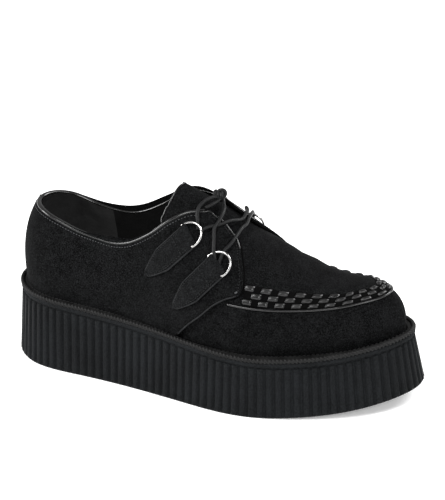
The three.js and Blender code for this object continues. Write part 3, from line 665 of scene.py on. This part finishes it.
def buildWelt():
    count = 2400
    turn = np.arange(count) * turns / count
    flare = section(turn, flareColumn)
    plan = insetAt(turn, flare + welt["inset"])
    line = np.column_stack([plan, platformTop(plan[:, 0]) + welt["height"]])
    length = lengthsAlong(line)
    total = length[-1] + np.linalg.norm(line[0] - line[-1])
    strands = round(total / welt["pitch"])
    rope = tubeParts(line, welt["rope"], 12, True, twist=length / total * 2 * np.pi * strands)
    wide = section(turn, ledgeColumn) - welt["inset"] - welt["stripPlay"]
    rows = []
    for part, up in welt["profile"]:
        plan = insetAt(turn, flare + welt["inset"] + welt["stripInset"] + part * wide)
        rows.append(np.column_stack([plan, platformTop(plan[:, 0]) + up]))
    strip = (np.concatenate(rows), gridFaces(len(rows), count, True))
    joinedMesh("weltRope", [rope, strip], "welt", "welt")

    inner = insetAt(turn, footInset(turn) - welt["seamInset"])
    seam = np.column_stack([inner, platformTop(inner[:, 0]) + welt["seamHeight"]])
    spots = evenly(np.concatenate([seam, seam[:1]]), welt["stitchPitch"])[:-1]
    along = tangents(spots, True)
    along[:, :2] += welt["stitchSlant"] * along[:, 1::-1] * [-1, 1]
    along /= np.linalg.norm(along, axis=1, keepdims=True)
    up = np.tile([0.0, 0.0, 1.0], (len(spots), 1))
    stitches = stitchParts(spots, along, up, welt["stitchLength"], welt["stitchRadius"])
    joinedMesh("weltStitches", stitches, "welt")


buildWelt()
print("sole and welt")

insole = {
    "play": 0.6,            # from the inside of the upper
    "profile": ((0, 0.3), (0, 2.6), (0.5, 3.3), (1.4, 3.7), (6, 3.8), (14, 3.6)),  # inset, height
}


def buildInsole():
    count = 220
    turn = np.arange(count) * turns / count
    base = footInset(turn) + shoe["wall"] + insole["play"]
    rows = []
    for inset, up in insole["profile"]:
        plan = insetAt(turn, base + inset)
        rows.append(np.column_stack([plan, platformTop(plan[:, 0]) + up]))
    faces = [list(f) for f in gridFaces(len(rows), count, True)]
    top = (len(rows) - 1) * count
    faces += [[top + c + 1, top + count - c - 1, top + (count - c) % count, top + c] for c in range(count // 2)]
    makeMesh("insoleSock", np.concatenate(rows), faces, "insole", "insole")


buildInsole()

# soft dents in the suede: place x, place z, lean in degrees, half length, half width, depth
dentTable = (
    (56, 84, 70, 18, 3.5, 0.5), (66, 80, 75, 16, 3.5, -0.35), (76, 76, 78, 14, 3.5, 0.35),
    (-30, 62, 10, 26, 6, 0.4), (-92, 70, 80, 16, 7, 0.45), (-70, 88, -12, 24, 5, -0.35),
    (96, 58, -6, 26, 6, -0.4), (20, 58, 30, 20, 5, 0.35))

# front edge of a quarter from the foot to the corner of the flap: turn, climb
flapEdge = np.array([
    [3.75, 0.0], [4.02, 0.125], [4.25, 0.218], [4.49, 0.334], [4.68, 0.413], [4.86, 0.475], [4.925, 0.52],
    [4.925, 0.56], [4.9, 0.618], [4.855, 0.679], [4.762, 0.759], [4.694, 0.81], [4.606, 0.843], [4.494, 0.861],
    [4.371, 0.878], [4.245, 0.869], [4.14, 0.873], [4.058, 0.861]])
innerPull = [0.02, 0.05, 0.08, 0.1, 0.12, 0.14]  # turns by which the inner flap's top stands back
cutLifts = (0.95, 0.6, 0.1, -0.6)  # the cut edge, rounded down to the vamp


def skin(turn, climb, offset):
    point = form(turn, climb)
    x, z = point[..., 0], point[..., 2]
    total = np.zeros_like(x)
    for px, pz, lean, long, wide, depth in dentTable:
        a = math.radians(lean)
        u = (x - px) * math.cos(a) + (z - pz) * math.sin(a)
        v = -(x - px) * math.sin(a) + (z - pz) * math.cos(a)
        total -= depth * np.exp(-((u / long) ** 2) - (v / wide) ** 2)
    return form(turn, climb, offset + total)


# patch between four edges
def coons(bottom, top, left, right):
    u = np.linspace(0, 1, len(bottom))[None, :, None]
    v = np.linspace(0, 1, len(left))[:, None, None]
    b, t, l, r = bottom[None], top[None], left[:, None], right[:, None]
    corners = (1 - u) * (1 - v) * bottom[0] + u * (1 - v) * bottom[-1] + (1 - u) * v * top[0] + u * v * top[-1]
    return (1 - v) * b + v * t + (1 - u) * l + u * r - corners


def quarterPlan(side, columns=210, rows=96):
    edge = flapEdge.copy()
    if side > 0:
        edge[-6:, 0] -= innerPull
    corner = edge[-1, 0]
    edge[-1, 1] = collarClimb(np.array([signedTurn(corner, side)]), shoe["step"])[0]
    front = curveThrough(edge, rows)
    topTurn = np.linspace(0, corner, columns)
    top = np.column_stack([topTurn, collarClimb(signedTurn(topTurn, side), shoe["step"])])
    top[-1] = front[-1]
    bottom = np.column_stack([np.linspace(0, edge[0, 0], columns), np.zeros(columns)])
    back = np.column_stack([np.zeros(rows), np.linspace(0, top[0, 1], rows)])
    return coons(bottom, top, back, front), front, top


plans = {side: quarterPlan(side) for side in (-1, 1)}


def buildQuarters():
    for side, name in ((-1, "quarterOuter"), (1, "quarterInner")):
        plan, front = plans[side][:2]
        grid = skin(signedTurn(plan[..., 0], side), plan[..., 1], shoe["step"])
        rims = [skin(signedTurn(front[:, 0], side), front[:, 1], lift)[:, None] for lift in cutLifts]
        gridMesh(name, np.concatenate([grid] + rims, 1), "suede", "upper", flip=side > 0)


buildQuarters()

vamp = {
    "thickness": 1.6,
    "tongueUnder": 3.2,     # how far the tongue lies under the flaps
    "sideUnder": 1.2,       # how far the vamp lies under the quarters
    "tipLift": 2.6,         # rise of the tongue's tip
    "covered": (4.95, 4.45),  # turns over which it goes under the quarters
    "tongue": (0.5, 0.65),  # climbs over which the vamp becomes the tongue
    "tip": (4.1, 3.45),     # turns over which the tip rises
    "centre": (0.78, 0.98),  # and the climbs
    "bindingStart": 0.64,   # where the tongue's binding begins, as a share of the climb
    "bindingRadius": 0.6,
}

# where the vamp and tongue begin under the quarters: climb, turn
vampStart = np.array([
    [0, 3.6], [0.2, 4.08], [0.41, 4.52], [0.52, 4.72], [0.585, 4.5], [0.61, 3.8], [0.625, 3.43], [0.715, 3.41],
    [0.78, 3.46], [0.86, 3.5], [0.93, 3.53], [1, 3.56]])


def buildVamp():
    spread = 92
    climb = np.concatenate([np.linspace(0, 1, spread), np.linspace(1, 0, spread)[1:]])
    start = lookup(vampStart, climb)
    near = start[None] + (half - start[None]) * np.linspace(0, 1, 250)[:, None]
    turn = near.copy()
    turn[:, spread:] = turns - turn[:, spread:]
    climbGrid = np.broadcast_to(climb, near.shape)
    covered = smoothRamp(near, *vamp["covered"])
    tongue = ramp(climbGrid, *vamp["tongue"])
    tip = ramp(near, *vamp["tip"]) ** 1.5 * ramp(climbGrid, *vamp["centre"])
    offset = ((vamp["tipLift"] * tip - vamp["tongueUnder"] * covered) * tongue
              - vamp["sideUnder"] * covered * (1 - tongue))
    grid = skin(turn, climbGrid, offset)
    piece = gridMesh("vampTongue", grid, "suede", ("upper", "tongue"), flip=True)
    thick = piece.modifiers.new("thickness", "SOLIDIFY")
    thick.thickness = vamp["thickness"] / 1000
    thick.offset = -1
    first = int(spread * vamp["bindingStart"])
    tube("tongueBinding", grid[0][first:len(climb) - first], vamp["bindingRadius"], "binding", "tongue", sides=8)


buildVamp()
print("upper")

# panels of the lining, whose front is darker: name, first turn, last turn, finish, lift
liningPanels = (("liningInner", -3.95, -2.02, "liningDark", -2.3), ("liningHeel", -2.02, 3.0, "lining", -2.0),
                ("liningOuter", 3.0, 4.02, "liningDark", -2.3))
liningSeam = {"turn": 2.98, "radius": 0.45, "lift": -2.4}


def buildLining():
    rows = 60
    for name, start, end, finish, lift in liningPanels:
        columns = int((end - start) * 34)
        turn = np.mod(np.linspace(start, end, columns) + turns, turns)
        climb = np.linspace(0, 1, rows)[:, None] * collarClimb(turn, -2.0)
        gridMesh(name, form(np.broadcast_to(turn, climb.shape), climb, lift), finish, flip=True)
    turn = np.full(40, turns - liningSeam["turn"])
    seam = form(turn, np.linspace(0.05, 0.98, 40) * collarClimb(turn), liningSeam["lift"])
    tube("liningSeam", seam, liningSeam["radius"], "lining", "suede", sides=6)


buildLining()

binding = {
    "across": 1.75, "high": 1.15,  # half width and half height round the collar
    "rise": 0.25,
    "flap": 0.65,           # radius round the top of a flap
    "edge": 0.5,            # radius of the rolled edge and the seam below that
    "shadeOut": 0.9,        # painted shadow: a dark line this far outside the flap
    "heelSeam": 0.45,
    # rows of a quarter's front edge, counted from the foot, that each line follows
    "bound": slice(70, None), "rolled": slice(10, 72), "seam": slice(4, 49), "shade": slice(44, 94),
    "stitched": slice(50, 92), "tacked": slice(48, 51),
    "flapInset": 2.0, "collarInset": 1.9,  # of the stitches
}
collarStitch = {"pitch": 2.3, "length": 1.3, "radius": 0.28}
flapStitch = {"pitch": 2.0, "length": 1.2, "radius": 0.3}
tackStitch = {"pitch": 2.0, "length": 2.2, "radius": 0.7}


def buildEdges():
    turn = np.mod(np.linspace(4.058, -3.92, 420) + turns, turns)
    line = form(turn, collarClimb(turn), (shoe["step"] - shoe["wall"]) / 2)
    line[:, 2] = collarAt(line[:, 0], line[:, 1]) + binding["rise"]
    tube("collarBinding", line, binding["across"], "binding", "collar_binding", "collar_piping", sides=14,
         flat=binding["high"] / binding["across"])
    step = shoe["step"]
    pale = []
    dark = []
    for side, word in ((-1, "Outer"), (1, "Inner")):
        front, top = plans[side][1:]
        turn, climb = signedTurn(front[:, 0], side), front[:, 1]
        for piece, rows, lift, radius, finish, slot in (
                ("flapBinding", "bound", step + 0.05, binding["flap"], "binding", "collar_binding"),
                ("flapEdge", "rolled", step * 0.6, binding["edge"], "suede", "suede"),
                ("flapSeam", "seam", step + 0.35, binding["edge"], "edge", "suede")):
            tube(piece + word, form(turn, climb, lift)[binding[rows]], radius, finish, slot, sides=8)
        # painted shadow: a dark tube in the weave's under leather, laid on the vamp beside the flap's edge, stands in
        # for the flap's shadow
        shade = shifted(turn[binding["shade"]], climb[binding["shade"]], binding["shadeOut"] * side)
        tube("flapShade" + word, form(*shade, -0.1), binding["edge"], "weaveUnder", "suede", sides=6)
        run = shifted(turn, climb, -binding["flapInset"] * side)
        dark += stitchRun(*(v[binding["stitched"]] for v in run), step + 0.1, **flapStitch)
        pale += stitchRun(*(v[binding["tacked"]] for v in run), step + 0.3, **tackStitch)
        run = shifted(signedTurn(top[3:-4, 0], side), top[3:-4, 1], binding["collarInset"] * side)
        pale += stitchRun(*run, step + 0.1, **collarStitch)
    joinedMesh("edgeStitches", pale, "thread")
    joinedMesh("flapStitches", dark, "threadDark")
    back = form(np.zeros(60), np.linspace(0.01, 0.6, 60), step)
    tube("heelSeam", back, binding["heelSeam"], "suede", "suede", sides=6)


buildEdges()

piping = {"start": 4.72, "radius": 0.85, "pitch": 1.5}
weave = {
    "start": 4.97,
    "pitch": 5.5,           # of the blocks along the band
    "rows": 3,
    "over": 0.64,           # half length of a block, in pitches
    "across": 0.44,         # half width of a block, in rows
    "high": 1.45,           # how far a block stands up
    "low": 0.5,             # and the band under it
    "sag": 0.35,            # how far a block's ends dip
    "ripple": 0.25,
    "margin": 0.1,          # between the piping and the first row
}

# the band between its two edges: turn, edge, inner, how far the inner side of the shoe lies lower
apron = np.array([
    [4.7, 0.386, 0.56, 0.13], [5.0, 0.418, 0.6, 0.13], [5.5, 0.47, 0.665, 0.13], [6.0, 0.528, 0.727, 0.12],
    [6.5, 0.58, 0.78, 0.09], [7.0, 0.62, 0.817, 0.05], [7.5, 0.642, 0.835, 0.015], [8.0, 0.672, 0.845, 0]])


def apronAt(turn, column):
    turn = np.mod(turn, turns)
    lower = np.where(turn > half, lookup(apron, mate(turn), 3), 0)
    return lookup(apron, mate(turn), column) - lower


# an even number of even steps round the toe
def evenTurns(start, climbAt, pitch):
    samples = np.linspace(start, turns - start, 1200)
    length = lengthsAlong(form(samples, climbAt(samples)))
    count = int(round(length[-1] / pitch / 2)) * 2
    return np.interp(np.linspace(0, length[-1], count + 1), length, samples)


def buildApron():
    line = evenTurns(piping["start"], lambda t: apronAt(t, 1), piping["pitch"])
    rim = form(line, apronAt(line, 1), piping["radius"] * 0.75)
    tube("apronPiping", rim, piping["radius"], "binding", "apron_binding", "apron_piping")
    cells = evenTurns(weave["start"], lambda t: (apronAt(t, 1) + apronAt(t, 2)) / 2, weave["pitch"])
    count = len(cells) - 1

    # s counts blocks along the band, and w is the share across it
    def place(s, w):
        turn = np.interp(s, np.arange(count + 1), cells)
        low = apronAt(turn, 1)
        return turn, low + (weave["margin"] + (1 - weave["margin"]) * w) * (apronAt(turn, 2) - low)

    s, w = np.meshgrid(np.linspace(-0.1, count + 0.1, count * 4 + 1), np.linspace(-0.02, 1.02, 14))
    rim = ramp(np.minimum(w + 0.02, 1.02 - w), 0, 0.06)
    ripple = weave["ripple"] * np.sin(s * np.pi * 2) * np.sin(w * weave["rows"] * np.pi)
    gridMesh("weaveUnder", form(*place(s, w), (weave["low"] + ripple) * rim), "weaveUnder", "apron_weave")

    long, wide = 9, 7
    a, b = np.meshgrid(np.linspace(-1, 1, long), np.linspace(-1, 1, wide))
    rounded = (1 - np.abs(a) ** 6) ** 0.6 * (1 - np.abs(b) ** 4) ** 0.5
    arch = weave["low"] * 0.2 + (weave["high"] - weave["sag"] * a**2) * rounded
    blocks = []
    for column in range(count):
        for row in range(weave["rows"]):
            if (column + row) % 2 == 0:
                s = np.clip(column + 0.5 + a * weave["over"], 0, count)
                w = (row + 0.5 + b * weave["across"]) / weave["rows"]
                blocks.append((form(*place(s, w), arch).reshape(-1, 3), gridFaces(wide, long)))
    joinedMesh("weaveBlocks", blocks, "weave")


buildApron()
print("apron")

strap = {
    "length": 47.0, "width": 15.6, "thick": 2.0,
    "setback": 8.0,         # how far the inner straps sit further back
    "point": 0.42, "taper": 0.7,  # share of the length that tapers, and how round
    "widening": 0.05,
    "fold": 2.2, "foldStart": 0.78,  # swelling where the strap folds over the ring
    "groove": 0.22,         # dip along the stitches
    "seamAt": 0.8, "edgeAt": 0.985,  # shares of the half width
    "edge": 0.5,            # radius of the pale cut edge
    "crossSeam": 0.74,      # place of the seam behind the ring
    # name, tip along the shoe, its rise as a share of the instep, lean in degrees
    "places": (("Upper", 0.399, 0.42, 43.5), ("Lower", 0.479, 0.247, 45.5)),
}
strapStitch = {"pitch": 2.2, "length": 1.2, "radius": 0.24}
ring = {
    "radius": 8.8, "wire": 0.78,
    "lift": 1.9, "back": 2.4,  # over the quarter, and in from the strap's end
    # the D, in radii: reach and half height of the bow, place and half length of the bar
    "bow": (1.24, 0.97), "bowBack": 0.04, "roundness": 0.9, "bar": (-0.14, 0.74),
}


# turn and climb of a point seen square from the side
def sideSpot(x, z, side):
    turn = np.full(x.shape, 4.0)
    climb = np.full(x.shape, 0.5)
    for _ in range(14):
        here = form(signedTurn(turn, side), climb)
        byTurn = (form(signedTurn(turn + 0.01, side), climb) - here) * 100
        byClimb = (form(signedTurn(turn, side), climb + 0.01) - here) * 100
        dx, dz = x - here[..., 0], z - here[..., 2]
        det = byTurn[..., 0] * byClimb[..., 2] - byClimb[..., 0] * byTurn[..., 2]
        turn = turn + (dx * byClimb[..., 2] - byClimb[..., 0] * dz) / det
        climb = np.clip(climb + (byTurn[..., 0] * dz - dx * byTurn[..., 2]) / det, 0, 0.98)
    return signedTurn(turn, side), climb


def buildStrap(name, side, along, rise, lean):
    node = name[0].lower() + name[1:].replace("Outer", "_outer").replace("Inner", "_inner")
    tip = (along - 0.5) * shoe["length"] - (strap["setback"] if side > 0 else 0)
    tipHeight = platformTop(tip) + rise * shoe["instep"]
    a = math.radians(lean)
    reach = strap["length"]
    step = shoe["step"]

    # s runs from the tip to the ring and w across from -1 to 1
    def place(s, w):
        taper = np.minimum(1, (np.maximum(s, 0) / strap["point"]) ** strap["taper"])
        width = strap["width"] / 2 * taper * (1 + strap["widening"] * s**4)
        x = tip + s * reach * math.cos(a) + w * width * math.sin(a)
        z = tipHeight + s * reach * math.sin(a) - w * width * math.cos(a)
        return sideSpot(x, z, side)

    s = np.concatenate([np.linspace(0.0, 0.06, 6), np.linspace(0.08, 1, 34)])
    s, w = np.meshgrid(s, np.linspace(-1, 1, 21), indexing="ij")
    edge = (1 - np.abs(w) ** 8) ** 0.5
    tipEdge = ramp(s, 0, 0.03) ** 0.5
    hump = strap["fold"] * smoothRamp(s, strap["foldStart"], 0.98) * (1 - ramp(s, 0.975, 1) ** 2 * 0.9)
    groove = strap["groove"] * np.exp(-(((np.abs(w) - strap["seamAt"]) / 0.05) ** 2)) * ramp(s, 0.1, 0.2)
    lift = step + 0.1 + (strap["thick"] + hump) * edge * tipEdge - groove
    gridMesh("strap" + name, form(*place(s, w), lift), "strap", "strap_" + node, flip=side > 0)

    line = np.concatenate([np.linspace(0.93, 0.06, 60), np.linspace(0.06, 0.93, 60)])
    sign = np.concatenate([-np.ones(60), np.ones(60)])
    stitches = stitchRun(*place(line, sign * strap["seamAt"]), step + strap["thick"] - 0.05, **strapStitch)
    rim = form(*place(line, sign * strap["edgeAt"]), step + 1.2)
    tube("strapEdge" + name, rim, strap["edge"], "edge", "strap", sides=8)
    across = place(np.full(24, strap["crossSeam"]), np.linspace(-0.75, 0.75, 24))
    stitches += stitchRun(*across, step + strap["thick"] + 0.05, **strapStitch)
    joinedMesh("strapStitches" + name, stitches, "threadDark")

    def spot(s, w):
        return form(*(v[0] for v in place(np.array([s]), np.array([w]))), step + ring["lift"])

    # the ring lies in the plane of the strap's end
    end = 1 - ring["back"] / reach
    centre = spot(end, 0.0)
    across = spot(end, 1.0) - spot(end, -1.0)
    across /= np.linalg.norm(across)
    forward = centre - spot(end - 0.1, 0.0)
    forward -= across * (forward @ across)
    forward /= np.linalg.norm(forward)
    bow, bar = ring["bow"], ring["bar"]
    loop = [(bow[0] * abs(math.sin(q)) ** ring["roundness"] - ring["bowBack"], bow[1] * math.cos(q))
            for q in np.linspace(0, math.pi, 25)]
    loop += [(bar[0], v) for v in np.linspace(-bar[1], bar[1], 10)]
    points = np.array([centre + (forward * f + across * v) * ring["radius"] for f, v in loop])
    tube("ring" + name, points, ring["wire"], "ring", "ring", "ring_" + node, sides=12, closed=True,
         up=np.cross(forward, across))


for name, along, rise, lean in strap["places"]:
    for side, word in ((-1, "Outer"), (1, "Inner")):
        buildStrap(name + word, side, along, rise, lean)
print("straps and rings")

stage = {
    "floor": 0.96, "glow": 0.25, "world": 0.42,
    "aim": (0, 0, 0.05),
    # name, place in metres, watts, size
    "lights": (("keyLight", (-0.3, -1.3, 1.9), 38, 1.1), ("rimLight", (1.2, 1.2, 1.4), 38, 0.9),
               ("sideLight", (-2.0, -0.7, 0.9), 44, 1.1), ("toeLight", (1.8, -0.9, 1.0), 20, 0.8)),
}


def buildStage():
    bpy.ops.mesh.primitive_plane_add(size=6, location=(0, 0, -0.0002))
    floor = bpy.context.object
    floor.name = "studioFloor"
    pale = Finish("studioPale", Base_Color=grey(stage["floor"]), Roughness=0.9, Emission_Color=(1, 1, 1, 1),
                  Emission_Strength=stage["glow"])
    floor.data.materials.append(pale.material)
    world = bpy.data.worlds.new("studioWorld")
    scene.world = world
    world.use_nodes = True
    sky = next(n for n in world.node_tree.nodes if n.type == "BACKGROUND")
    sky.inputs["Color"].default_value = (1, 1, 1, 1)
    sky.inputs["Strength"].default_value = stage["world"]
    for name, place, power, wide in stage["lights"]:
        data = bpy.data.lights.new(name, "AREA")
        data.energy = power
        data.size = wide
        light = bpy.data.objects.new(name, data)
        scene.collection.objects.link(light)
        light.location = place
        light.rotation_euler = (Vector(stage["aim"]) - Vector(place)).to_track_quat("-Z", "Y").to_euler()


buildStage()
print("stage")
saveSize()
